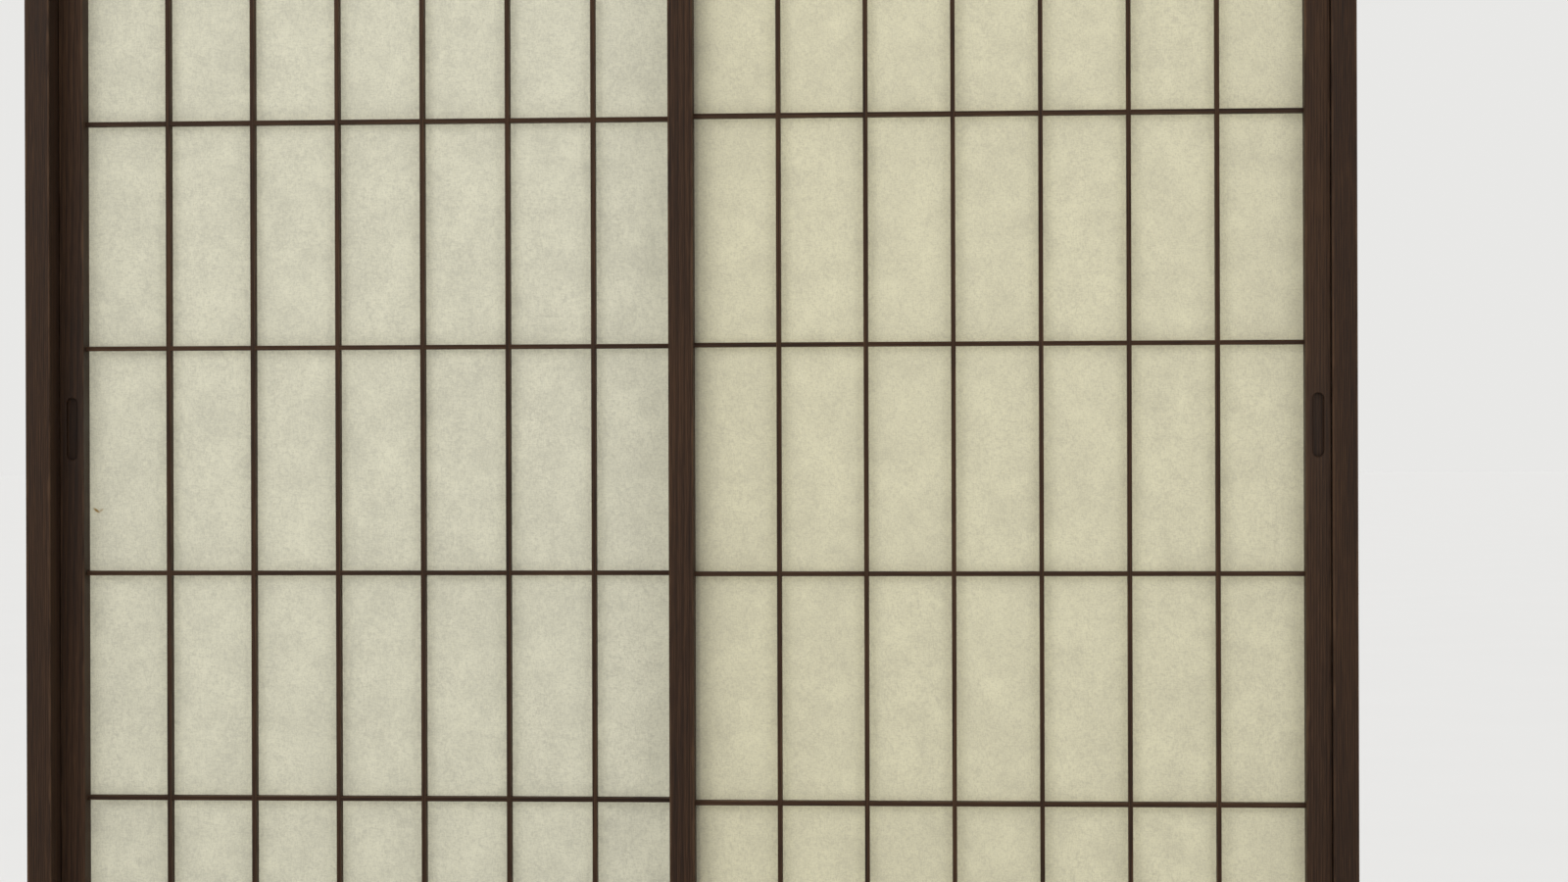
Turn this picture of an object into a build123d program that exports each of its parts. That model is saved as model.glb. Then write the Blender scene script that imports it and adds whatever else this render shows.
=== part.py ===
from build123d import *
from dataclasses import dataclass
import os

# A pair of paper-covered lattice panels that slide past each other in a wooden frame.
# X runs along the opening, Y from the room to the outside and Z up. The origin is the
# centre of the sill's underside. All sizes are in millimetres.

os.makedirs("parts", exist_ok=True)

# Lattice of each panel
columns = 7
rows = 6
column_pitch = 116.0
row_pitch = 305.0
bar_face = 6.0
bar_depth = 15.0
bar_arris = 0.5

# Stiles and rails of each panel
stile_face = 33.0
top_rail_face = 33.0
bottom_rail_face = 46.0
panel_depth = 30.0
arris = 1.0

# Paper and the shallow rebate that it is pasted into
paper_thickness = 0.3
paper_margin = 8.0
paper_edge_gap = 1.0
paper_rebate_depth = 1.0

# Panel joinery
mortise_wall = 8.5
rail_tenon_cheek = 10.0
rail_tenon_shoulder = 6.0
bar_tenon_length = 6.0
bar_tenon_cheek = 3.0
bar_tenon_shoulder = 1.5
mortise_clearance = 0.1
mortise_end_gap = 0.5
lap_clearance = 0.1

# Finger recess in the stile that meets the jamb
recess_margin = 9.0
recess_length = 84.0
recess_depth = 8.0
recess_mouth = 0.8
recess_height = 850.0

# Tongues, grooves and running play
tongue_shoulder = 5.5
groove_side_play = 1.0
head_engagement = 10.0
sill_groove_depth = 3.0
lift_margin = 2.0
sill_clearance = 1.0
running_gap = 0.3
panel_gap = 3.0
end_gap = 1.0
meeting_overlap = 40.0

# Frame
face_reveal = 9.0
back_reveal = 33.0
jamb_face = 33.0
head_web = 25.0
sill_web = 34.0
runner_thickness = 3.0
frame_tenon_length = 12.0
frame_tenon_cheek = 7.0
frame_tenon_side = 22.5

# Frame screws and the holes that fix the jambs to the wall
screw_length = 75.0
screw_radius = 2.25
screw_head_radius = 4.5
screw_head_height = 2.6
screw_point_length = 6.0
screw_inset = 0.5
screw_clearance = 0.1
drive_slot_width = 1.0
drive_slot_length = 5.0
drive_slot_depth = 1.4
fixing_radius = 2.75
fixing_sink_radius = 5.5
fixing_end_distance = 250.0
fixings_per_jamb = 4

# Panel sizes
lattice_width = columns * column_pitch - bar_face
lattice_height = rows * row_pitch - bar_face
panel_width = lattice_width + 2 * stile_face
shoulder_height = bottom_rail_face + lattice_height + top_rail_face
tongue_width = panel_depth - 2 * tongue_shoulder
groove_width = tongue_width + 2 * groove_side_play
lift_play = sill_groove_depth + lift_margin
head_groove_depth = head_engagement + lift_play

# Frame sizes
opening_width = 2 * panel_width - meeting_overlap + 2 * end_gap
opening_height = sill_clearance + shoulder_height + lift_play
frame_depth = face_reveal + 2 * panel_depth + panel_gap + back_reveal
sill_thickness = sill_web + runner_thickness + sill_groove_depth
head_thickness = head_web + head_groove_depth
frame_height = sill_thickness + opening_height + head_thickness

# Heights
head_bottom = sill_thickness + opening_height
shoulder_bottom = sill_thickness + sill_clearance
shoulder_top = shoulder_bottom + shoulder_height
lattice_bottom = shoulder_bottom + bottom_rail_face
lattice_top = lattice_bottom + lattice_height
runner_top = sill_web + runner_thickness
tongue_bottom = runner_top + running_gap
tongue_top = head_bottom + head_engagement

# Depths
frame_front = -frame_depth / 2
front_panel_face = frame_front + face_reveal
rear_panel_face = front_panel_face + panel_depth + panel_gap
rear_groove_back = rear_panel_face + (panel_depth + groove_width) / 2
jamb_inner = opening_width / 2
jamb_outer = jamb_inner + jamb_face


@dataclass
class Panel:
    """One sliding panel: its left edge, its room-side face and the side of its recess."""

    name: str
    left: float
    face: float
    recess_side: int


panels = [
    Panel("front_panel", jamb_inner - end_gap - panel_width, front_panel_face, 1),
    Panel("rear_panel", end_gap - jamb_inner, rear_panel_face, -1),
]


def block(x, y, z, mode=Mode.ADD):
    """Adds or cuts a block that spans the ranges x, y and z."""
    spans = (x, y, z)
    with Locations(tuple((low + high) / 2 for low, high in spans)):
        Box(*(high - low for low, high in spans), mode=mode)


def grown(span, margin):
    """The range span, longer by margin at both ends."""
    return (span[0] - margin, span[1] + margin)


def shrunk(span, margin):
    """The range span, shorter by margin at both ends."""
    return (span[0] + margin, span[1] - margin)


# Ranges that a panel's pieces and their seats share
def lattice_x(panel):
    return (panel.left + stile_face, panel.left + stile_face + lattice_width)


def depth_y(panel):
    return (panel.face, panel.face + panel_depth)


def bar_y(panel):
    back = panel.face + panel_depth - paper_rebate_depth
    return (back - bar_depth, back)


def column_bar_x(panel, column):
    right = panel.left + stile_face + column * column_pitch
    return (right - bar_face, right)


def row_bar_z(row):
    top = lattice_bottom + row * row_pitch
    return (top - bar_face, top)


def rail_z(at_top):
    if at_top:
        return (lattice_top, shoulder_top)
    return (shoulder_bottom, lattice_bottom)


def cut_paper_rebate(panel):
    """Cuts the rebate around the lattice out of the open piece's back face."""
    edge = paper_margin + paper_edge_gap
    y_back = depth_y(panel)[1]
    block(
        grown(lattice_x(panel), edge),
        (y_back - paper_rebate_depth, y_back),
        grown((lattice_bottom, lattice_top), edge),
        mode=Mode.SUBTRACT,
    )


def save(part, name):
    """Labels a finished piece and writes it."""
    part.label = name
    export_step(part, f"parts/{name}.step")


def make_stile(panel, side):
    """A full-height side member. The side is -1 for the left stile and 1 for the right."""
    x_in = lattice_x(panel)[0] if side < 0 else lattice_x(panel)[1]
    x_out = x_in + side * stile_face
    x_mid, y_mid = (x_in + x_out) / 2, panel.face + panel_depth / 2
    with BuildPart() as stile:
        with BuildSketch(Plane.XY.offset(shoulder_bottom)):
            with Locations((x_mid, y_mid)):
                Rectangle(stile_face, panel_depth)
        extrude(amount=shoulder_height)
        chamfer(stile.edges().filter_by(Axis.Z), arris)
        with BuildSketch(Plane.XY.offset(tongue_bottom)):
            with Locations((x_mid, y_mid)):
                Rectangle(stile_face, tongue_width)
        extrude(amount=tongue_top - tongue_bottom)
        cut_paper_rebate(panel)
        rail_mortise = sorted((x_in, x_out - side * mortise_wall))
        for at_top in (True, False):
            block(
                rail_mortise,
                grown(shrunk(depth_y(panel), rail_tenon_cheek), mortise_clearance),
                grown(shrunk(rail_z(at_top), rail_tenon_shoulder), mortise_clearance),
                mode=Mode.SUBTRACT,
            )
        bar_mortise = sorted((x_in, x_in + side * (bar_tenon_length + mortise_end_gap)))
        for row in range(1, rows):
            block(
                bar_mortise,
                grown(shrunk(bar_y(panel), bar_tenon_cheek), mortise_clearance),
                grown(shrunk(row_bar_z(row), bar_tenon_shoulder), mortise_clearance),
                mode=Mode.SUBTRACT,
            )
        if side == panel.recess_side:
            with BuildSketch(Plane.XZ.offset(-panel.face)):
                with Locations((x_mid, sill_thickness + recess_height)):
                    SlotOverall(recess_length, stile_face - 2 * recess_margin, rotation=90)
            extrude(amount=-recess_depth, mode=Mode.SUBTRACT)
            mouth = stile.faces().filter_by(Axis.Y).sort_by(Axis.Y)[0].inner_wires()[0]
            chamfer(mouth.edges(), recess_mouth)
    side_name = "left" if side < 0 else "right"
    save(stile.part, f"{panel.name}_{side_name}_stile")


def make_rail(panel, at_top):
    """The top or bottom member between the stiles, with its tongue and its tenons."""
    face_z = rail_z(at_top)
    tongue_z = (face_z[0], tongue_top) if at_top else (tongue_bottom, face_z[1])
    y_mid = panel.face + panel_depth / 2
    with BuildPart() as rail:
        with BuildSketch(Plane.YZ.offset(lattice_x(panel)[0])):
            with Locations((y_mid, sum(face_z) / 2)):
                Rectangle(panel_depth, face_z[1] - face_z[0])
        extrude(amount=lattice_width)
        chamfer(rail.edges().filter_by(Axis.X), arris)
        block(lattice_x(panel), grown((y_mid, y_mid), tongue_width / 2), tongue_z)
        cut_paper_rebate(panel)
        block(
            grown(lattice_x(panel), stile_face - mortise_wall - mortise_end_gap),
            shrunk(depth_y(panel), rail_tenon_cheek),
            shrunk(face_z, rail_tenon_shoulder),
        )
        seat = bar_tenon_length + mortise_end_gap
        mortise_z = (face_z[0], face_z[0] + seat) if at_top else (face_z[1] - seat, face_z[1])
        for column in range(1, columns):
            block(
                grown(shrunk(column_bar_x(panel, column), bar_tenon_shoulder), mortise_clearance),
                grown(shrunk(bar_y(panel), bar_tenon_cheek), mortise_clearance),
                mortise_z,
                mode=Mode.SUBTRACT,
            )
    end_name = "top" if at_top else "bottom"
    save(rail.part, f"{panel.name}_{end_name}_rail")


def vertical_kumiko(panel):
    """The first upright lattice bar, notched from the back where the level bars cross it."""
    x, y, z = column_bar_x(panel, 1), bar_y(panel), (lattice_bottom, lattice_top)
    with BuildPart() as kumiko:
        block(x, y, z)
        front_face = kumiko.faces().sort_by(Axis.Y)[0]
        chamfer(front_face.edges().filter_by(Axis.Z), bar_arris)
        block(
            shrunk(x, bar_tenon_shoulder),
            shrunk(y, bar_tenon_cheek),
            grown(z, bar_tenon_length),
        )
        for row in range(1, rows):
            half_back = (sum(y) / 2, y[1])
            block(x, half_back, grown(row_bar_z(row), lap_clearance), mode=Mode.SUBTRACT)
    return kumiko.part


def horizontal_kumiko(panel):
    """The lowest level lattice bar, notched from the front where the upright bars cross it."""
    x, y, z = lattice_x(panel), bar_y(panel), row_bar_z(1)
    with BuildPart() as kumiko:
        block(x, y, z)
        front_face = kumiko.faces().sort_by(Axis.Y)[0]
        chamfer(front_face.edges().filter_by(Axis.X), bar_arris)
        block(
            grown(x, bar_tenon_length),
            shrunk(y, bar_tenon_cheek),
            shrunk(z, bar_tenon_shoulder),
        )
        for column in range(1, columns):
            half_front = (y[0], sum(y) / 2)
            notch = grown(column_bar_x(panel, column), lap_clearance)
            block(notch, half_front, z, mode=Mode.SUBTRACT)
    return kumiko.part


def make_lattice(panel):
    """Every bar of a panel's lattice, as copies of the first upright and the lowest level one."""
    upright, level = vertical_kumiko(panel), horizontal_kumiko(panel)
    for column in range(1, columns):
        copy = upright.moved(Location(((column - 1) * column_pitch, 0, 0)))
        save(copy, f"{panel.name}_vertical_kumiko_{column}")
    for row in range(1, rows):
        copy = level.moved(Location((0, 0, (row - 1) * row_pitch)))
        save(copy, f"{panel.name}_horizontal_kumiko_{row}")


def make_paper(panel):
    """One sheet pasted on the back of the lattice, lapping onto the stiles and rails."""
    y_glue = bar_y(panel)[1]
    with BuildPart() as paper:
        block(
            grown(lattice_x(panel), paper_margin),
            (y_glue, y_glue + paper_thickness),
            grown((lattice_bottom, lattice_top), paper_margin),
        )
    save(paper.part, f"{panel.name}_paper")


def groove_centres():
    """The middle of each panel's groove, in Y."""
    return [panel.face + panel_depth / 2 for panel in panels]


def frame_tenon_y():
    return shrunk((frame_front, -frame_front), frame_tenon_side)


def screw_places():
    """Where the frame screws enter the jambs, with Z pointing along each screw."""
    y_row = frame_front + frame_tenon_side / 2
    heights = (sill_web / 2, frame_height - head_web / 2)
    return [
        Plane(origin=(side * (jamb_outer - screw_inset), y, z), z_dir=(-side, 0, 0))
        for side in (-1, 1)
        for y in (y_row, -y_row)
        for z in heights
    ]


def screw_bodies(margin, mode=Mode.ADD):
    """Adds the frame screws, or cuts their holes where margin is the clearance."""
    to_middle = (Align.CENTER, Align.CENTER, Align.MIN)
    shank_length = screw_length - screw_point_length
    for place in screw_places():
        with Locations(place):
            Cylinder(screw_radius + margin, shank_length, align=to_middle, mode=mode)
            Cone(
                screw_head_radius + margin,
                screw_radius + margin,
                screw_head_height,
                align=to_middle,
                mode=mode,
            )
        with Locations(place.offset(shank_length)):
            Cone(screw_radius + margin, margin, screw_point_length, align=to_middle, mode=mode)


def cut_screw_holes():
    """Cuts the seats of the frame screws, open to the jamb's outer face."""
    screw_bodies(screw_clearance, mode=Mode.SUBTRACT)
    for place in screw_places():
        with Locations(place.offset(-screw_inset)):
            Cylinder(
                screw_head_radius + screw_clearance,
                screw_inset,
                align=(Align.CENTER, Align.CENTER, Align.MIN),
                mode=Mode.SUBTRACT,
            )


def make_sill():
    """The bottom member, with a shallow groove and a runner seat for each panel."""
    with BuildPart() as sill:
        with BuildSketch(Plane.YZ.offset(-jamb_inner)):
            with Locations((0, sill_thickness / 2)):
                Rectangle(frame_depth, sill_thickness)
        extrude(amount=opening_width)
        top_edges = sill.edges().filter_by(Axis.X).group_by(Axis.Z)[-1]
        chamfer(top_edges, arris)
        for y_groove in groove_centres():
            groove_y = grown((y_groove, y_groove), groove_width / 2)
            block((-jamb_inner, jamb_inner), groove_y, (sill_web, sill_thickness), Mode.SUBTRACT)
        block(
            grown((-jamb_inner, jamb_inner), frame_tenon_length),
            frame_tenon_y(),
            (frame_tenon_cheek, sill_web - frame_tenon_cheek),
        )
        cut_screw_holes()
    save(sill.part, "sill")


def make_head():
    """The top member, with a deep groove for each panel's upper tongue."""
    head_x = (-jamb_inner, jamb_inner)
    web_bottom = frame_height - head_web
    with BuildPart() as head:
        with BuildSketch(Plane.YZ.offset(-jamb_inner)):
            with Locations((0, frame_height - head_thickness / 2)):
                Rectangle(frame_depth, head_thickness)
        extrude(amount=opening_width)
        bottom_edges = head.edges().filter_by(Axis.X).group_by(Axis.Z)[0]
        chamfer(bottom_edges, arris)
        for y_groove in groove_centres():
            groove_y = grown((y_groove, y_groove), groove_width / 2)
            block(head_x, groove_y, (head_bottom, web_bottom), Mode.SUBTRACT)
        block(
            grown(head_x, frame_tenon_length),
            frame_tenon_y(),
            shrunk((web_bottom, frame_height), frame_tenon_cheek),
        )
        cut_screw_holes()
    save(head.part, "head")


def make_jamb(side, name):
    """A side member, housed over the sill and head tenons, with its wall fixings."""
    x = sorted((side * jamb_inner, side * jamb_outer))
    mortise_x = sorted((side * jamb_inner, side * (jamb_inner + frame_tenon_length + mortise_end_gap)))
    tenon_heights = (
        (frame_tenon_cheek, sill_web - frame_tenon_cheek),
        shrunk((frame_height - head_web, frame_height), frame_tenon_cheek),
    )
    fixing_y = (rear_groove_back - frame_front) / 2
    fixing_pitch = (frame_height - 2 * fixing_end_distance) / (fixings_per_jamb - 1)
    with BuildPart() as jamb:
        with BuildSketch():
            with Locations((sum(x) / 2, 0)):
                Rectangle(jamb_face, frame_depth)
        extrude(amount=frame_height)
        chamfer(jamb.edges().filter_by(Axis.Z), arris)
        for tenon_z in tenon_heights:
            block(
                mortise_x,
                grown(frame_tenon_y(), mortise_clearance),
                grown(tenon_z, mortise_clearance),
                mode=Mode.SUBTRACT,
            )
        cut_screw_holes()
        for number in range(fixings_per_jamb):
            fixing_z = fixing_end_distance + number * fixing_pitch
            hole_mouth = Plane(origin=(side * jamb_inner, fixing_y, fixing_z), z_dir=(-side, 0, 0))
            with Locations(hole_mouth):
                CounterSinkHole(fixing_radius, fixing_sink_radius, depth=jamb_face)
    save(jamb.part, name)


def make_runner(panel):
    """A hardwood strip let into the floor of the sill's groove."""
    y_mid = panel.face + panel_depth / 2
    with BuildPart() as runner:
        block(
            (-jamb_inner, jamb_inner),
            grown((y_mid, y_mid), groove_width / 2),
            (sill_web, runner_top),
        )
    save(runner.part, panel.name.replace("panel", "runner_strip"))


def make_frame_screws():
    """The countersunk screws through the jambs into the ends of the sill and head."""
    with BuildPart() as frame_screws:
        screw_bodies(0)
        for place in screw_places():
            with Locations(place.offset(drive_slot_depth / 2)):
                Box(drive_slot_length, drive_slot_width, drive_slot_depth, mode=Mode.SUBTRACT)
                Box(drive_slot_width, drive_slot_length, drive_slot_depth, mode=Mode.SUBTRACT)
    save(frame_screws.part, "frame_screws")


make_sill()
make_head()
make_jamb(-1, "left_jamb")
make_jamb(1, "right_jamb")
make_frame_screws()

for panel in panels:
    make_runner(panel)
    make_stile(panel, -1)
    make_stile(panel, 1)
    make_rail(panel, at_top=True)
    make_rail(panel, at_top=False)
    make_lattice(panel)
    make_paper(panel)
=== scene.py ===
import math
import random
from collections import namedtuple

import bpy
from mathutils import Matrix, Vector


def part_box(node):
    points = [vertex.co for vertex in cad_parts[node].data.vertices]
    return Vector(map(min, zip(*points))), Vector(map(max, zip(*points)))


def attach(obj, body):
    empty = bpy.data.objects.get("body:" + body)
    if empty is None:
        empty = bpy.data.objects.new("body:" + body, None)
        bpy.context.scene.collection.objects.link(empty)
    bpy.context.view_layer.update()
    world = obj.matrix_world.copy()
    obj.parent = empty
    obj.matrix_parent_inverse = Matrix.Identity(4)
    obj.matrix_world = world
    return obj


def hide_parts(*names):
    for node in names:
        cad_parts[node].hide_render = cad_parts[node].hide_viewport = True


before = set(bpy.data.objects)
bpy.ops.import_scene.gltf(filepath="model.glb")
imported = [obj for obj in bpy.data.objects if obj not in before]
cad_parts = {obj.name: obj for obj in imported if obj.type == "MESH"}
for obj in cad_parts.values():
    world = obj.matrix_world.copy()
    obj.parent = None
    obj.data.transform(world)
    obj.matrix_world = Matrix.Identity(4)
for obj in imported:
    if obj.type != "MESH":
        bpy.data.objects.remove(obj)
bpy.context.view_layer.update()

# Lengths are in metres, angles in radians and colours linear.

# A wood: the tones of its late, middle and early wood, the lighter tone of its edges, which is rubbed stain
# and also a painted highlight, its roughness, and how wide those lightened edges are
Wood = namedtuple("Wood", "tones worn roughness wear_width")
FRAME_WOOD = Wood(
    tones=[(0.013, 0.0058, 0.0026), (0.032, 0.0146, 0.0066), (0.064, 0.0315, 0.0150)],
    worn=(0.104, 0.056, 0.030),
    roughness=0.62,
    wear_width=0.0026,
)
PANEL_WOOD = FRAME_WOOD._replace(
    tones=[(0.014, 0.0062, 0.0028), (0.035, 0.0160, 0.0073), (0.070, 0.0345, 0.0165)],
)
LATTICE_WOOD = FRAME_WOOD._replace(
    tones=[(0.015, 0.0068, 0.0031), (0.038, 0.0175, 0.0081), (0.076, 0.0380, 0.0185)],
    wear_width=0.0009,
)
RUNNER_WOOD = FRAME_WOOD._replace(
    tones=[(0.110, 0.060, 0.030), (0.210, 0.125, 0.066), (0.310, 0.200, 0.112)],
    worn=(0.330, 0.220, 0.130),
    roughness=0.34,
)
TONE_STOPS = (0.20, 0.50, 0.80)
MEMBER_TONE_RANGE = 0.05
FIBRE_ROUGHNESS = 0.25
PATCH_ROUGHNESS = 0.20
PORE_RELIEF = 0.6
RING_RELIEF = 0.35
WOOD_SPECULAR = 0.2
WOOD_BUMP = (0.6, 0.0002)

# The wood of each kind of member, and whether its grain runs upright
MEMBER_KINDS = {
    "jamb": (FRAME_WOOD, True),
    "sill": (FRAME_WOOD, False),
    "head": (FRAME_WOOD, False),
    "stile": (PANEL_WOOD, True),
    "rail": (PANEL_WOOD, False),
    "vertical_kumiko": (LATTICE_WOOD, True),
    "horizontal_kumiko": (LATTICE_WOOD, False),
    "runner_strip": (RUNNER_WOOD, False),
}

# A layer of noise: its scale per metre, detail and roughness, its stretch along X, Y and Z, and, where it is
# added to others, how much it counts
Layer = namedtuple("Layer", "scale detail roughness stretch weight", defaults=[None])
WOOD_FIBRES = Layer(850.0, 2.0, 0.65, (1.0, 1.0, 0.016), 0.90)
WOOD_PORES = Layer(2600.0, 1.0, 0.6, (1.0, 1.0, 0.012), 0.80)
WOOD_PATCHES = Layer(1.0, 2.0, 0.55, (16.0, 16.0, 1.6), 0.60)
WEAR_AND_HIGHLIGHT_PATCHES = Layer(1.0, 2.0, 0.6, (14.0, 14.0, 14.0), 3.0)
PAPER_CLOUDS = Layer(26.0, 2.0, 0.6, (1.0, 1.0, 1.0), 0.9)
PAPER_WEFT = Layer(560.0, 2.0, 0.75, (0.3, 1.0, 1.0))
PAPER_WARP = PAPER_WEFT._replace(stretch=(1.0, 1.0, 0.3))
PAPER_MOTTLE_WEIGHT = 2.6
STEEL_MOTTLE = Layer(700.0, 3.0, 0.6, (1.0, 1.0, 1.0), 0.3)
FLOOR_MOTTLE = Layer(2.0, 3.0, 0.55, (1.0, 1.0, 1.0))

# Growth rings: their width, how wavy they are, how late wood shows, and where a member lies in its log.
# WAVE_PERIOD is the width of a ring where the wave has a scale of 1.
RING_PITCH = 0.0024
WAVE_PERIOD = 2 * math.pi / 20
RING_WAVINESS = 3.5
RING_WAVE_SCALE = 0.16
RING_WAVE_DETAIL = 2.0
RING_STRETCH = (1.0, 1.0, 0.03)
LATE_WOOD_SHARPNESS = 2.5
LATE_WOOD_MIDDLE = 0.3
LATE_WOOD_WEIGHT = -0.26
PITH_DISTANCES = (0.07, 0.16)
GRAIN_LEAN = 0.006
LOG_REACH = 5.0

# Edge wear and painted edge highlight: how much of an edge is rubbed and lightened, and the stretch that
# hands polish at the finger recesses
WEAR_AND_HIGHLIGHT_PATCH_MIDDLE = 0.53
WEAR_AND_HIGHLIGHT_FIBRE_WEIGHT = 1.6
WEAR_AND_HIGHLIGHT_SHARE = 0.85
HAND_HEIGHT = 0.89
HAND_REACH = 0.30
HAND_GLOSS = 0.16
HAND_DARKENING = 0.35
HANDLED_STILES = ("front_panel_right_stile", "rear_panel_left_stile")

# Washi paper: its colour in front light on each panel, and how its thickness, its fibres and light from
# behind change that
PAPER_COLOURS = {"front_panel": (0.790, 0.766, 0.643), "rear_panel": (0.778, 0.767, 0.676)}
PAPER_ROUGHNESS = 0.88
PAPER_SPECULAR = 0.25
PAPER_BUMP = (0.3, 0.00012)
PAPER_EVEN_THICKNESS = 0.5
PAPER_THROUGH_GAIN = 1.165
PAPER_THROUGH_SHARE = 0.6
PAPER_THIN_GAIN = 1.08
PAPER_THICK_GAIN = 0.78
PAPER_FIBRE_GAIN = 1.06
PAPER_MOST_REFLECTED = 0.9
PAPER_MOST_PASSED = 0.985

# A layer of long paper fibres, drawn where a stretched noise crosses its middle value: the fibres' direction
# in the sheet, the noise's scale and stretch along them, and how far from the middle value a line reaches
Strands = namedtuple("Strands", "direction scale stretch width")
PAPER_STRANDS = [
    Strands(0.30, 130.0, 0.28, 0.022),
    Strands(-0.80, 170.0, 0.30, 0.024),
    Strands(1.35, 110.0, 0.24, 0.018),
    Strands(0.95, 210.0, 0.30, 0.026),
]
STRAND_DETAIL = 1.0
STRAND_CONTOUR = 0.5
STRAND_BREAK_MIDDLE = 0.35
STRAND_BREAK_GAIN = 3.0
STRAND_MIDDLE = 0.15

# A stain on the paper: its middle in X and Z, its half length and half width, the slant of its length, and
# how strong it is
Stain = namedtuple("Stain", "at length width slant strength")
PAPER_STAINS = {
    "front_panel": [],
    "rear_panel": [
        Stain((-0.8098, 0.7790), 0.0065, 0.0021, -0.65, 1.0),
        Stain((-0.8030, 0.7792), 0.0042, 0.0018, 0.64, 0.5),
    ],
}
STAIN_TINT = (0.62, 0.46, 0.24)
STAIN_FULLNESS = 1.6

# The paper's relief: grid steps across and up between two bars, how far it swells, and how full the swell is
PAPER_STEPS_ACROSS = 12
PAPER_STEPS_UP = 22
PAPER_BULGE = 0.00045
PAPER_SEED = 7
BULGE_SHAPE_ACROSS = 0.7
BULGE_SHAPE_UP = 0.5

# Zinc plate: its darkest and palest tones
STEEL_DARK = (0.42, 0.41, 0.38)
STEEL_PALE = (0.62, 0.61, 0.58)
STEEL_ROUGHNESS = 0.38

# Where the two tones of a mottled surface lie in its noise
MOTTLE_STOPS = (0.3, 0.7)

# A face smaller than this, in square metres, has no area
NO_AREA = 1e-12

# Camera, where the photograph was taken from. The lens and the sensor's width are in millimetres.
CAMERA_AT = (0.4024, -4.1883, 0.8708)
CAMERA_LENS = 72.0
CAMERA_SENSOR = 36.0
CAMERA_TURN = 0.0647
CAMERA_ROLL = -0.0031

# Stage and light
FLOOR_COLOUR = (0.70, 0.695, 0.68)
FLOOR_DARKER = 0.97
FLOOR_ROUGHNESS = 0.7
FLOOR_GLOW = (0.84, 0.84, 0.835)
FLOOR_GLOW_SHARE = 0.6
FLOOR_REACH = 80.0
BACKGROUND_COLOUR = (0.810, 0.807, 0.794)
ROOM_LIGHT = 0.42
WINDOW_LIGHT = 2.7
LIGHT_COLOUR = (1.0, 0.99, 0.97)
LIGHTS_AIM = (0.0, 0.0, 1.0)

# A softbox: its place, the length of its side, and its power in watts
Softbox = namedtuple("Softbox", "place side power")
SOFTBOXES = {
    "key": Softbox((-2.4, -3.4, 3.0), 2.2, 52.0),
    "fill": Softbox((2.8, -3.2, 1.8), 2.0, 21.0),
}


class Graph:
    """The nodes of one material or world. An input is a number, a colour, a vector or an output."""

    def __init__(self, owner):
        owner.use_nodes = True
        self.tree = owner.node_tree
        self.tree.nodes.clear()

    def put(self, socket, value):
        """Links an input to another node's output, or gives it a value."""
        if isinstance(value, bpy.types.NodeSocket):
            self.tree.links.new(value, socket)
        elif socket.type == "RGBA" and len(value) == 3:
            socket.default_value = (*value, 1.0)
        else:
            socket.default_value = value

    def add(self, kind, options=None, **inputs):
        """A new node. Inputs are named as on the node, with _ for a space."""
        node = self.tree.nodes.new(kind)
        for name, value in (options or {}).items():
            setattr(node, name, value)
        for name, value in inputs.items():
            self.put(node.inputs[name.replace("_", " ")], value)
        return node

    def math(self, operation, *operands, clamp=False):
        node = self.add("ShaderNodeMath", {"operation": operation, "use_clamp": clamp})
        for socket, operand in zip(node.inputs, operands):
            self.put(socket, operand)
        return node.outputs[0]

    def total(self, *values):
        result = values[0]
        for value in values[1:]:
            result = self.math("ADD", result, value)
        return result

    def spread(self, value, gain, middle=0.5):
        """A value's distance from its middle, times a gain."""
        return self.math("MULTIPLY", self.math("SUBTRACT", value, middle), gain)

    def scaled(self, vector, factors):
        node = self.add("ShaderNodeVectorMath", {"operation": "MULTIPLY"})
        self.put(node.inputs[0], vector)
        self.put(node.inputs[1], factors)
        return node.outputs[0]

    def moved(self, vector, location=(0.0, 0.0, 0.0), rotation=(0.0, 0.0, 0.0)):
        node = self.add("ShaderNodeMapping", Vector=vector, Location=location, Rotation=rotation)
        return node.outputs[0]

    def axes(self, vector):
        return self.add("ShaderNodeSeparateXYZ", Vector=vector).outputs

    def noise(self, vector, scale, detail, roughness=0.5):
        node = self.add(
            "ShaderNodeTexNoise", Vector=vector, Scale=scale, Detail=detail, Roughness=roughness
        )
        return node.outputs[0]

    def layer(self, place, layer):
        stretched = self.scaled(place, layer.stretch)
        return self.noise(stretched, layer.scale, layer.detail, layer.roughness)

    def fade(self, value, width):
        """1 where a value is 0, falling to 0 where it is as large as the width."""
        return self.math("SUBTRACT", 1.0, self.math("DIVIDE", value, width), clamp=True)

    def mix(self, share, first, second):
        node = self.add("ShaderNodeMix", {"data_type": "RGBA"})
        for index, value in ((0, share), (6, first), (7, second)):
            self.put(node.inputs[index], value)
        return node.outputs[2]

    def ramp(self, value, *stops):
        """The colour along a ramp through (position, colour) stops."""
        node = self.add("ShaderNodeValToRGB", Fac=value)
        elements = node.color_ramp.elements
        while len(elements) < len(stops):
            elements.new(0.5)
        for element, (position, colour) in zip(elements, stops):
            element.position = position
            element.color = (*colour, 1.0)
        return node.outputs[0]

    def bump(self, height, strength, distance):
        return self.add("ShaderNodeBump", Height=height, Strength=strength, Distance=distance).outputs[0]

    def shader_mix(self, share, first, second):
        node = self.add("ShaderNodeMixShader", Fac=share)
        self.put(node.inputs[1], first)
        self.put(node.inputs[2], second)
        return node.outputs[0]

    def object_place(self):
        return self.add("ShaderNodeTexCoord").outputs["Object"]

    def surface(self, shader, kind="ShaderNodeOutputMaterial"):
        self.add(kind, Surface=shader)


def new_material(name):
    material = bpy.data.materials.new(name)
    return material, Graph(material)


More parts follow.
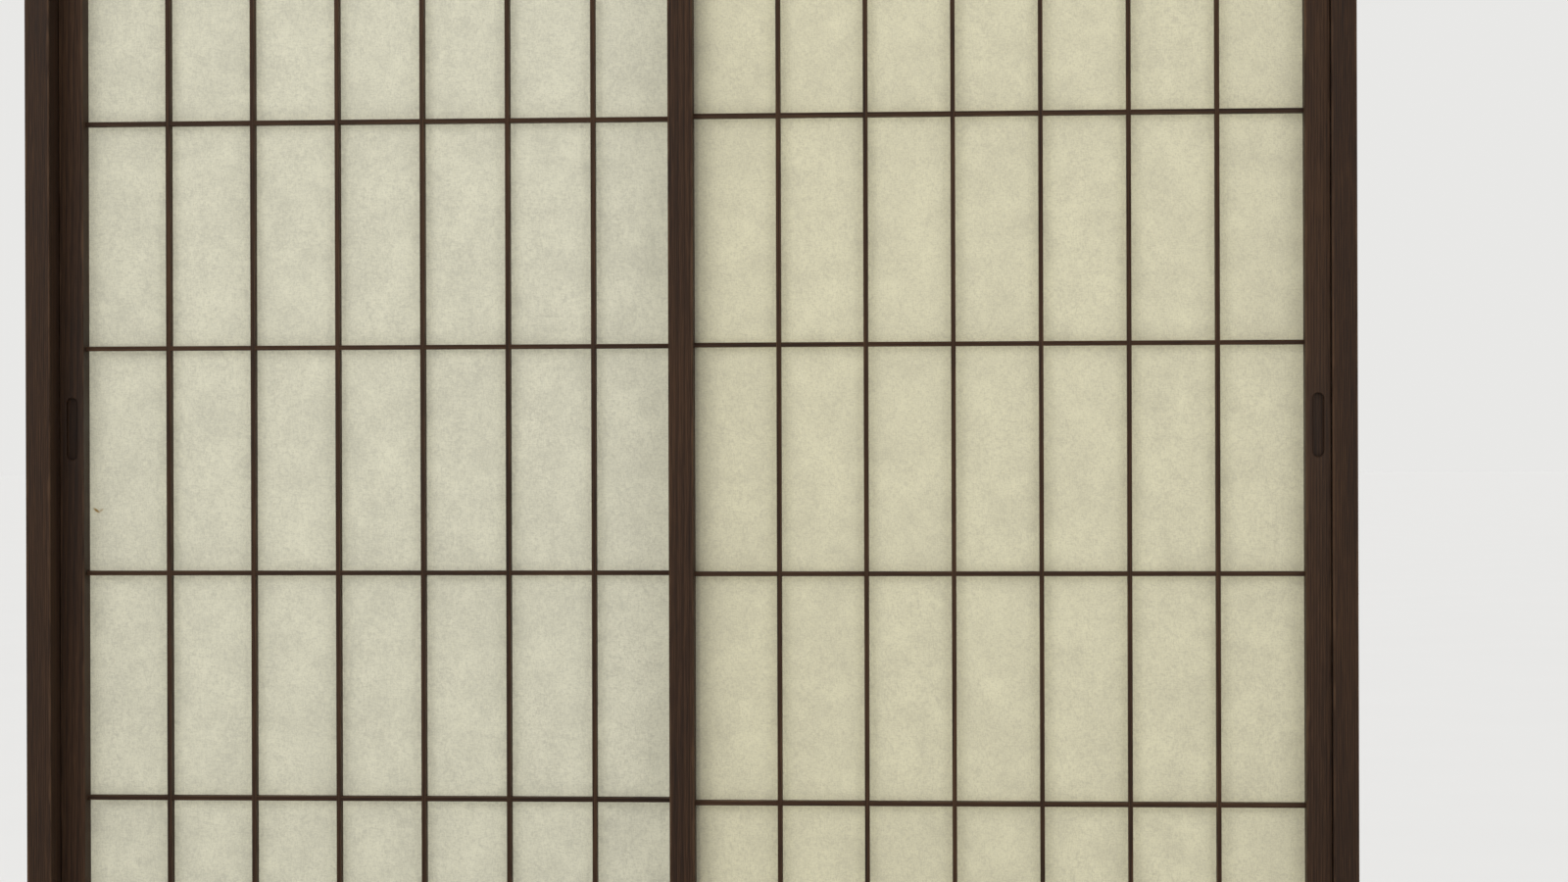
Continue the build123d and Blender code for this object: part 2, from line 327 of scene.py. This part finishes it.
def new_object(name, data):
    added = bpy.data.objects.new(name, data)
    bpy.context.scene.collection.objects.link(added)
    return added


def edge_wear_and_highlight(graph, place, node_name, upright, fibres, width):
    """Patches along a member's long edges, where hands and cloths have rubbed the stain thin; their lighter
    tone also paints a highlight on the edges.
    """
    low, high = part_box(node_name)
    axes = graph.axes(place)
    inset = None
    for axis in (0, 1) if upright else (1, 2):
        middle = (low[axis] + high[axis]) / 2
        from_middle = graph.math("ABSOLUTE", graph.math("SUBTRACT", axes[axis], middle))
        from_face = graph.math("SUBTRACT", (high[axis] - low[axis]) / 2, from_middle)
        inset = from_face if inset is None else graph.math("MAXIMUM", inset, from_face)
    near_edge = graph.math("SUBTRACT", 1.0, graph.math("DIVIDE", inset, width))
    patches = graph.spread(graph.layer(place, WEAR_AND_HIGHLIGHT_PATCHES), WEAR_AND_HIGHLIGHT_PATCHES.weight, WEAR_AND_HIGHLIGHT_PATCH_MIDDLE)
    worn = graph.total(near_edge, patches, graph.spread(fibres, WEAR_AND_HIGHLIGHT_FIBRE_WEIGHT))
    return graph.math("MULTIPLY", worn, WEAR_AND_HIGHLIGHT_SHARE, clamp=True)


def hand_polish(graph, place):
    """1 at the height of the finger recess, fading to 0 above and below it."""
    distance = graph.math("ABSOLUTE", graph.math("SUBTRACT", graph.axes(place)[2], HAND_HEIGHT))
    near = graph.fade(distance, HAND_REACH)
    return graph.math("MULTIPLY", near, near)


def grain_place(graph, place, node_name, upright, draw):
    """Coordinates with the grain along Z and the pith at X 0, Y 0, in a log of the member's own."""
    middle = sum(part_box(node_name), Vector()) / 2
    pith_distance = draw.uniform(*PITH_DISTANCES)
    turn = draw.uniform(0, 2 * math.pi)
    lean = draw.uniform(-GRAIN_LEAN, GRAIN_LEAN)
    height = draw.uniform(-LOG_REACH, LOG_REACH)
    centred = graph.moved(place, location=-middle)
    tilt = 0.0 if upright else math.pi / 2
    return graph.moved(centred, location=(pith_distance, 0.0, height), rotation=(lean, tilt, turn))


def growth_rings(graph, along_grain):
    """0 at the start of each year's wood, rising to 1 at its late wood."""
    wave = graph.add(
        "ShaderNodeTexWave",
        {"wave_type": "RINGS", "rings_direction": "Z", "wave_profile": "SAW"},
        Vector=graph.scaled(along_grain, RING_STRETCH),
        Scale=WAVE_PERIOD / RING_PITCH,
        Distortion=RING_WAVINESS,
        Detail=RING_WAVE_DETAIL,
        Detail_Scale=RING_WAVE_SCALE,
    )
    return wave.outputs[1]


def wood_material(node_name, wood, upright):
    """Straight-grained wood for one member."""
    draw = random.Random(node_name)
    material, graph = new_material(f"{node_name}_wood")
    place = graph.object_place()
    along_grain = grain_place(graph, place, node_name, upright, draw)
    late_wood = graph.math("POWER", growth_rings(graph, along_grain), LATE_WOOD_SHARPNESS)
    fibres = graph.layer(along_grain, WOOD_FIBRES)
    pores = graph.layer(along_grain, WOOD_PORES)
    patches = graph.layer(along_grain, WOOD_PATCHES)

    tone = graph.total(
        graph.spread(late_wood, LATE_WOOD_WEIGHT, LATE_WOOD_MIDDLE),
        graph.spread(fibres, WOOD_FIBRES.weight),
        graph.spread(pores, WOOD_PORES.weight),
        graph.spread(patches, WOOD_PATCHES.weight),
        TONE_STOPS[1] + draw.uniform(-MEMBER_TONE_RANGE, MEMBER_TONE_RANGE),
    )
    colour = graph.ramp(tone, *zip(TONE_STOPS, wood.tones))
    worn = edge_wear_and_highlight(graph, place, node_name, upright, fibres, wood.wear_width)
    # The edges' lighter tone: rubbed stain, and a painted highlight along the arrises.
    colour = graph.mix(worn, colour, wood.worn)
    roughness = graph.total(
        graph.spread(fibres, FIBRE_ROUGHNESS),
        graph.spread(patches, PATCH_ROUGHNESS),
        wood.roughness,
    )
    if node_name in HANDLED_STILES:
        polish = hand_polish(graph, place)
        roughness = graph.math("SUBTRACT", roughness, graph.math("MULTIPLY", polish, HAND_GLOSS))
        colour = graph.mix(graph.math("MULTIPLY", polish, HAND_DARKENING), colour, wood.tones[0])
    relief = graph.total(
        fibres,
        graph.spread(pores, PORE_RELIEF),
        graph.spread(late_wood, RING_RELIEF),
    )
    shader = graph.add(
        "ShaderNodeBsdfPrincipled",
        Base_Color=colour,
        Roughness=roughness,
        Specular_IOR_Level=WOOD_SPECULAR,
        Normal=graph.bump(relief, *WOOD_BUMP),
    )
    graph.surface(shader.outputs[0])
    return material


def strands(graph, place, layer):
    """Thin curling fibres in one main direction: the contour lines of a stretched noise."""
    turned = graph.moved(place, rotation=(0.0, layer.direction, 0.0))
    value = graph.noise(graph.scaled(turned, (1.0, 1.0, layer.stretch)), layer.scale, STRAND_DETAIL)
    from_line = graph.math("ABSOLUTE", graph.math("SUBTRACT", value, STRAND_CONTOUR))
    return graph.fade(from_line, layer.width)


def stain_spot(graph, place, stain):
    """How much of a stain shows: its full strength in the middle, and 0 past its edge."""
    x, z = stain.at
    centred = graph.moved(place, location=(-x, 0.0, -z))
    along = graph.moved(centred, rotation=(0.0, stain.slant, 0.0))
    inside = graph.scaled(along, (1 / stain.length, 0.0, 1 / stain.width))
    distance = graph.add("ShaderNodeVectorMath", {"operation": "LENGTH"}, Vector=inside).outputs["Value"]
    full = graph.math("MULTIPLY", graph.fade(distance, 1.0), STAIN_FULLNESS, clamp=True)
    return graph.math("MULTIPLY", full, stain.strength)


def tinted(graph, share, colour, plain_colour):
    """A colour, moved by a share towards that of plain paper with a stain on it."""
    stained = [channel * tint for channel, tint in zip(plain_colour, STAIN_TINT)]
    return graph.mix(share, colour, stained)


def paper_material(name, front_colour, stains):
    """Washi: long fibres in a cloudy sheet, which glows with the light behind it."""
    material, graph = new_material(name)
    place = graph.object_place()
    clouds = graph.layer(place, PAPER_CLOUDS)
    weft = graph.layer(place, PAPER_WEFT)
    warp = graph.layer(place, PAPER_WARP)
    mottle = graph.math("MULTIPLY", graph.math("ADD", weft, warp), 0.5)
    fibres = strands(graph, place, PAPER_STRANDS[0])
    for layer in PAPER_STRANDS[1:]:
        fibres = graph.math("MAXIMUM", fibres, strands(graph, place, layer))
    breaks = graph.spread(mottle, STRAND_BREAK_GAIN, STRAND_BREAK_MIDDLE)
    broken = graph.math("MULTIPLY", fibres, breaks, clamp=True)
    uneven = graph.total(
        graph.spread(clouds, PAPER_CLOUDS.weight),
        graph.spread(mottle, PAPER_MOTTLE_WEIGHT),
        graph.spread(broken, 1.0, STRAND_MIDDLE),
    )
    thickness = graph.math("ADD", uneven, PAPER_EVEN_THICKNESS, clamp=True)

    through = [channel * PAPER_THROUGH_GAIN for channel in front_colour]
    on_fibres = [min(channel * PAPER_FIBRE_GAIN, PAPER_MOST_REFLECTED) for channel in front_colour]
    thin = [min(channel * PAPER_THIN_GAIN, PAPER_MOST_PASSED) for channel in through]
    thick = [channel * PAPER_THICK_GAIN for channel in through]
    reflected = graph.mix(broken, front_colour, on_fibres)
    passed = graph.mix(thickness, thin, thick)
    for stain in stains:
        spot = stain_spot(graph, place, stain)
        reflected = tinted(graph, spot, reflected, front_colour)
        passed = tinted(graph, spot, passed, through)
    relief = graph.bump(mottle, *PAPER_BUMP)
    sheet = graph.add(
        "ShaderNodeBsdfPrincipled",
        Base_Color=reflected,
        Roughness=PAPER_ROUGHNESS,
        Specular_IOR_Level=PAPER_SPECULAR,
        Normal=relief,
    )
    glow = graph.add("ShaderNodeBsdfTranslucent", Color=passed, Normal=relief)
    graph.surface(graph.shader_mix(PAPER_THROUGH_SHARE, sheet.outputs[0], glow.outputs[0]))
    return material


def steel_material():
    """Dull zinc plate with fine mottling."""
    material, graph = new_material("screw_steel")
    mottle = graph.layer(graph.object_place(), STEEL_MOTTLE)
    shader = graph.add(
        "ShaderNodeBsdfPrincipled",
        Base_Color=graph.ramp(mottle, *zip(MOTTLE_STOPS, (STEEL_DARK, STEEL_PALE))),
        Roughness=graph.total(graph.spread(mottle, STEEL_MOTTLE.weight), STEEL_ROUGHNESS),
        Metallic=1.0,
    )
    graph.surface(shader.outputs[0])
    return material


def dress(node_name, material):
    """Gives every material slot of a node the same material."""
    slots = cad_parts[node_name].data.materials
    for index in range(len(slots)):
        slots[index] = material
    if not slots:
        slots.append(material)


def dress_wood_and_steel():
    """Gives every node but the paper its material, with a grain of its own for each member."""
    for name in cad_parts:
        for kind, (wood, upright) in MEMBER_KINDS.items():
            if kind in name:
                dress(name, wood_material(name, wood, upright))
    dress("frame_screws", steel_material())


def drop_empty_faces(node_name):
    """Leaves out the faces of a node's mesh that have no area, so that the mesh is clean and closed."""
    group = bpy.data.node_groups.new("drop_empty_faces", "GeometryNodeTree")
    for way in ("INPUT", "OUTPUT"):
        group.interface.new_socket("Geometry", in_out=way, socket_type="NodeSocketGeometry")
    whole = group.nodes.new("NodeGroupInput")
    area = group.nodes.new("GeometryNodeInputMeshFaceArea")
    empty = group.nodes.new("FunctionNodeCompare")
    empty.operation = "LESS_THAN"
    empty.inputs[1].default_value = NO_AREA
    delete = group.nodes.new("GeometryNodeDeleteGeometry")
    delete.domain = "FACE"
    cleaned = group.nodes.new("NodeGroupOutput")
    group.links.new(area.outputs["Area"], empty.inputs[0])
    group.links.new(whole.outputs[0], delete.inputs["Geometry"])
    group.links.new(empty.outputs[0], delete.inputs["Selection"])
    group.links.new(delete.outputs[0], cleaned.inputs[0])
    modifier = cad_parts[node_name].modifiers.new("drop_empty_faces", "NODES")
    modifier.node_group = group


def cut_spans(edges, counts):
    """Positions from edges, with the span to each next edge cut into its own number of parts."""
    places = [edges[0]]
    for start, end, count in zip(edges, edges[1:], counts):
        places += [start + (end - start) * step / count for step in range(1, count + 1)]
    return places


def lattice_lines(panel, kind, axis, sheet_edges, member_edges, parts):
    """Grid lines across a sheet: its edges, the inner edges of the members, and each bar."""
    edges = [sheet_edges[0], member_edges[0]]
    counts = [1]
    bars = [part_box(name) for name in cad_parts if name.startswith(f"{panel}_{kind}_kumiko")]
    for bar_low, bar_high in sorted(bars, key=lambda box: box[0][axis]):
        edges += [bar_low[axis], bar_high[axis]]
        counts += [parts, 1]
    edges += [member_edges[1], sheet_edges[1]]
    counts += [parts, 1]
    return cut_spans(edges, counts)


def place_in_cell(line, parts):
    """The cell between two bars that a grid line is in, and how far across it the line is."""
    cell, step = divmod(line - 1, parts + 1)
    return cell, max(0.0, min(1.0, step / parts))


def paper_relief(columns, rows):
    """How far each grid point of the sheet stands out, row by row. It is held flat on every bar."""
    draw = random.Random(PAPER_SEED)
    bulges = {}
    relief = []
    for row in range(len(rows)):
        up, v = place_in_cell(row, PAPER_STEPS_UP)
        for column in range(len(columns)):
            across, u = place_in_cell(column, PAPER_STEPS_ACROSS)
            if (across, up) not in bulges:
                bulges[across, up] = draw.uniform(-PAPER_BULGE, PAPER_BULGE)
            rise = math.sin(math.pi * u) ** BULGE_SHAPE_ACROSS * math.sin(math.pi * v) ** BULGE_SHAPE_UP
            relief.append(bulges[across, up] * rise)
    return relief


def closed_sheet_faces(wide, tall):
    """Faces of a closed sheet whose front and back are grids of wide by tall points."""
    back = wide * tall
    faces = []
    for row in range(tall - 1):
        for column in range(wide - 1):
            corner = row * wide + column
            front_face = (corner, corner + 1, corner + 1 + wide, corner + wide)
            faces.append(front_face)
            faces.append(tuple(back + point for point in reversed(front_face)))
    bottom = list(range(wide))
    right = [row * wide + wide - 1 for row in range(1, tall)]
    top = [(tall - 1) * wide + column for column in range(wide - 2, -1, -1)]
    left = [row * wide for row in range(tall - 2, 0, -1)]
    rim = bottom + right + top + left
    for here, there in zip(rim, rim[1:] + rim[:1]):
        faces.append((here, here + back, there + back, there))
    return faces


def paper_sheet(panel, material):
    """A taut sheet glued to the bars, which swells a little one way or the other between them."""
    low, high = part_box(f"{panel}_paper")
    stile_edges = (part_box(f"{panel}_left_stile")[1].x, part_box(f"{panel}_right_stile")[0].x)
    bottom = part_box(f"{panel}_bottom_rail")[1].z
    glued = bottom - low.z
    rail_edges = (bottom, high.z - glued)
    columns = lattice_lines(panel, "vertical", 0, (low.x, high.x), stile_edges, PAPER_STEPS_ACROSS)
    rows = lattice_lines(panel, "horizontal", 2, (low.z, high.z), rail_edges, PAPER_STEPS_UP)
    grid = [(x, z) for z in rows for x in columns]
    relief = paper_relief(columns, rows)
    points = [(x, y + out, z) for y in (low.y, high.y) for (x, z), out in zip(grid, relief)]
    mesh = bpy.data.meshes.new(f"{panel}_paper_sheet")
    mesh.from_pydata(points, [], closed_sheet_faces(len(columns), len(rows)))
    mesh.validate()
    for face in mesh.polygons:
        face.use_smooth = True
    mesh.materials.append(material)
    sheet = new_object(f"{panel}_paper_sheet", mesh)
    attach(sheet, panel)
    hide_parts(f"{panel}_paper")


def add_paper():
    """Dresses each panel's paper node, and lays the sheet over it that stands for it."""
    for panel, colour in PAPER_COLOURS.items():
        washi = paper_material(f"{panel}_washi", colour, PAPER_STAINS[panel])
        dress(f"{panel}_paper", washi)
        paper_sheet(panel, washi)


def add_camera():
    """A camera that sees what the photograph shows."""
    data = bpy.data.cameras.new("camera")
    data.lens = CAMERA_LENS
    data.sensor_width = CAMERA_SENSOR
    camera = new_object("camera", data)
    camera.matrix_world = (
        Matrix.Translation(CAMERA_AT)
        @ Matrix.Rotation(CAMERA_TURN, 4, "Z")
        @ Matrix.Rotation(math.pi / 2, 4, "X")
        @ Matrix.Rotation(CAMERA_ROLL, 4, "Z")
    )
    bpy.context.scene.camera = camera


def add_softbox(name, softbox):
    """A square lamp that faces the object."""
    data = bpy.data.lights.new(name, "AREA")
    data.shape = "SQUARE"
    data.size = softbox.side
    data.energy = softbox.power
    light = new_object(name, data)
    light.location = softbox.place
    towards = Vector(LIGHTS_AIM) - Vector(softbox.place)
    light.rotation_euler = towards.to_track_quat("-Z", "Y").to_euler()
    light.visible_camera = False


def shown_rays(graph):
    """1 for rays that show the stage or its reflection, and 0 for rays that light the object."""
    path = graph.add("ShaderNodeLightPath").outputs
    seen = graph.math("MAXIMUM", path["Is Camera Ray"], path["Is Glossy Ray"])
    return graph.math("MAXIMUM", seen, path["Is Transmission Ray"])


def add_floor():
    """A wide pale floor, which glows a little so that it shows paler than it lights the object."""
    material, graph = new_material("floor")
    mottle = graph.layer(graph.object_place(), FLOOR_MOTTLE)
    darker = [channel * FLOOR_DARKER for channel in FLOOR_COLOUR]
    colour = graph.ramp(mottle, *zip(MOTTLE_STOPS, (darker, FLOOR_COLOUR)))
    shader = graph.add("ShaderNodeBsdfPrincipled", Base_Color=colour, Roughness=FLOOR_ROUGHNESS)
    pale = graph.add("ShaderNodeEmission", Color=FLOOR_GLOW)
    share = graph.math("MULTIPLY", shown_rays(graph), FLOOR_GLOW_SHARE)
    graph.surface(graph.shader_mix(share, shader.outputs[0], pale.outputs[0]))
    mesh = bpy.data.meshes.new("floor")
    corners = [(x * FLOOR_REACH, y * FLOOR_REACH, 0.0) for x, y in ((-1, -1), (1, -1), (1, 1), (-1, 1))]
    mesh.from_pydata(corners, [], [(0, 1, 2, 3)])
    mesh.materials.append(material)
    new_object("floor", mesh)


def add_world():
    """Even light all round, and more from outside, so that the paper glows."""
    world = bpy.data.worlds.new("studio")
    bpy.context.scene.world = world
    graph = Graph(world)
    outward = graph.axes(graph.add("ShaderNodeTexCoord").outputs["Generated"])[1]
    from_window = graph.math("MULTIPLY", graph.math("MAXIMUM", outward, 0.0), WINDOW_LIGHT)
    strength = graph.math("ADD", from_window, ROOM_LIGHT)
    soft = graph.add("ShaderNodeBackground", Color=LIGHT_COLOUR, Strength=strength)
    shown = graph.add("ShaderNodeBackground", Color=BACKGROUND_COLOUR, Strength=1.0)
    both = graph.shader_mix(shown_rays(graph), soft.outputs[0], shown.outputs[0])
    graph.surface(both, "ShaderNodeOutputWorld")


add_camera()
dress_wood_and_steel()
drop_empty_faces("frame_screws")
add_paper()
add_floor()
add_world()
for softbox_name, softbox in SOFTBOXES.items():
    add_softbox(softbox_name, softbox)
bpy.context.scene.view_settings.view_transform = "Standard"
